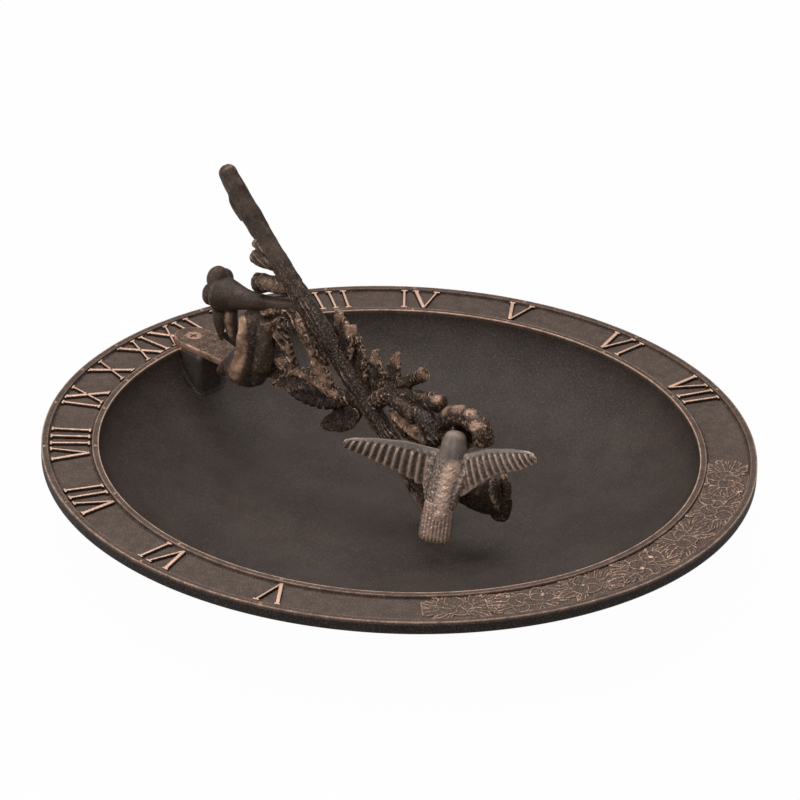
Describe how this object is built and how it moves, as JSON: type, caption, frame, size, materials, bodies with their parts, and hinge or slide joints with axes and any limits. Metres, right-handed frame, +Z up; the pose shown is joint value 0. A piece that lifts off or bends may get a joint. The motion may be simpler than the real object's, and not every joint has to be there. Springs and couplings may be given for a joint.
{
  "type": "sundial bird bath",
  "caption": "Round cast bird bath whose rim is a sundial, with a flowering vine and a hummingbird as the gnomon, held by a screw.",
  "frame": {"origin": "centre of the foot ring's bottom face, under the dial's centre", "axes": "+X east (afternoon side of the dial), +Y north (noon numeral and screw), +Z up"},
  "size_m": [0.425, 0.425, 0.1871],
  "materials": {
    "basin_bronze_finish": "cast, dark oil-rubbed bronze paint with fine copper flecks",
    "rubbed_copper": "cast relief, copper rubbed through the dark bronze paint",
    "vine_bronze_finish": "cast, dark bronze paint with copper on the raised edges",
    "bird_bronze_finish": "cast, bronze paint with much copper on the back and the feathers",
    "screw_copper": "copper-coloured plating"
  },
  "bodies": {
    "basin": {"basin": "basin_bronze_finish", "hour_numerals": "rubbed_copper", "hour_pips": "rubbed_copper", "leaf_garland": "rubbed_copper"},
    "gnomon": {"gnomon_stem": "vine_bronze_finish", "mounting_plate": "vine_bronze_finish", "side_branches": "vine_bronze_finish", "high_trumpet_flower": "vine_bronze_finish", "low_trumpet_flower": "vine_bronze_finish", "end_trumpet_flower": "vine_bronze_finish", "bird_trumpet_flower": "vine_bronze_finish", "upper_buds": "vine_bronze_finish", "cluster_buds": "vine_bronze_finish", "fan_leaf": "vine_bronze_finish", "stem_leaf": "vine_bronze_finish", "shaded_leaf": "vine_bronze_finish", "low_leaf": "vine_bronze_finish", "long_serrated_leaf": "vine_bronze_finish", "broad_leaf": "vine_bronze_finish", "spiky_leaf": "vine_bronze_finish", "east_leaves": "vine_bronze_finish", "cluster_leaf": "vine_bronze_finish", "hummingbird_body": "bird_bronze_finish", "hummingbird_bill": "bird_bronze_finish", "left_wing": "bird_bronze_finish", "right_wing": "bird_bronze_finish", "hummingbird_tail": "bird_bronze_finish"},
    "screw": {"gnomon_screw": "screw_copper"}
  },
  "joints": [
    {"name": "gnomon_lift", "type": "slide", "parent": "basin", "child": "gnomon", "axis": [0, 0, 1], "range_m": [0, 0.06]},
    {"name": "screw_turn", "type": "hinge", "parent": "gnomon", "child": "screw", "pos_m": [0.002, 0.179, 0.0605], "axis": [0, 0, 1], "continuous": true}
  ]
}
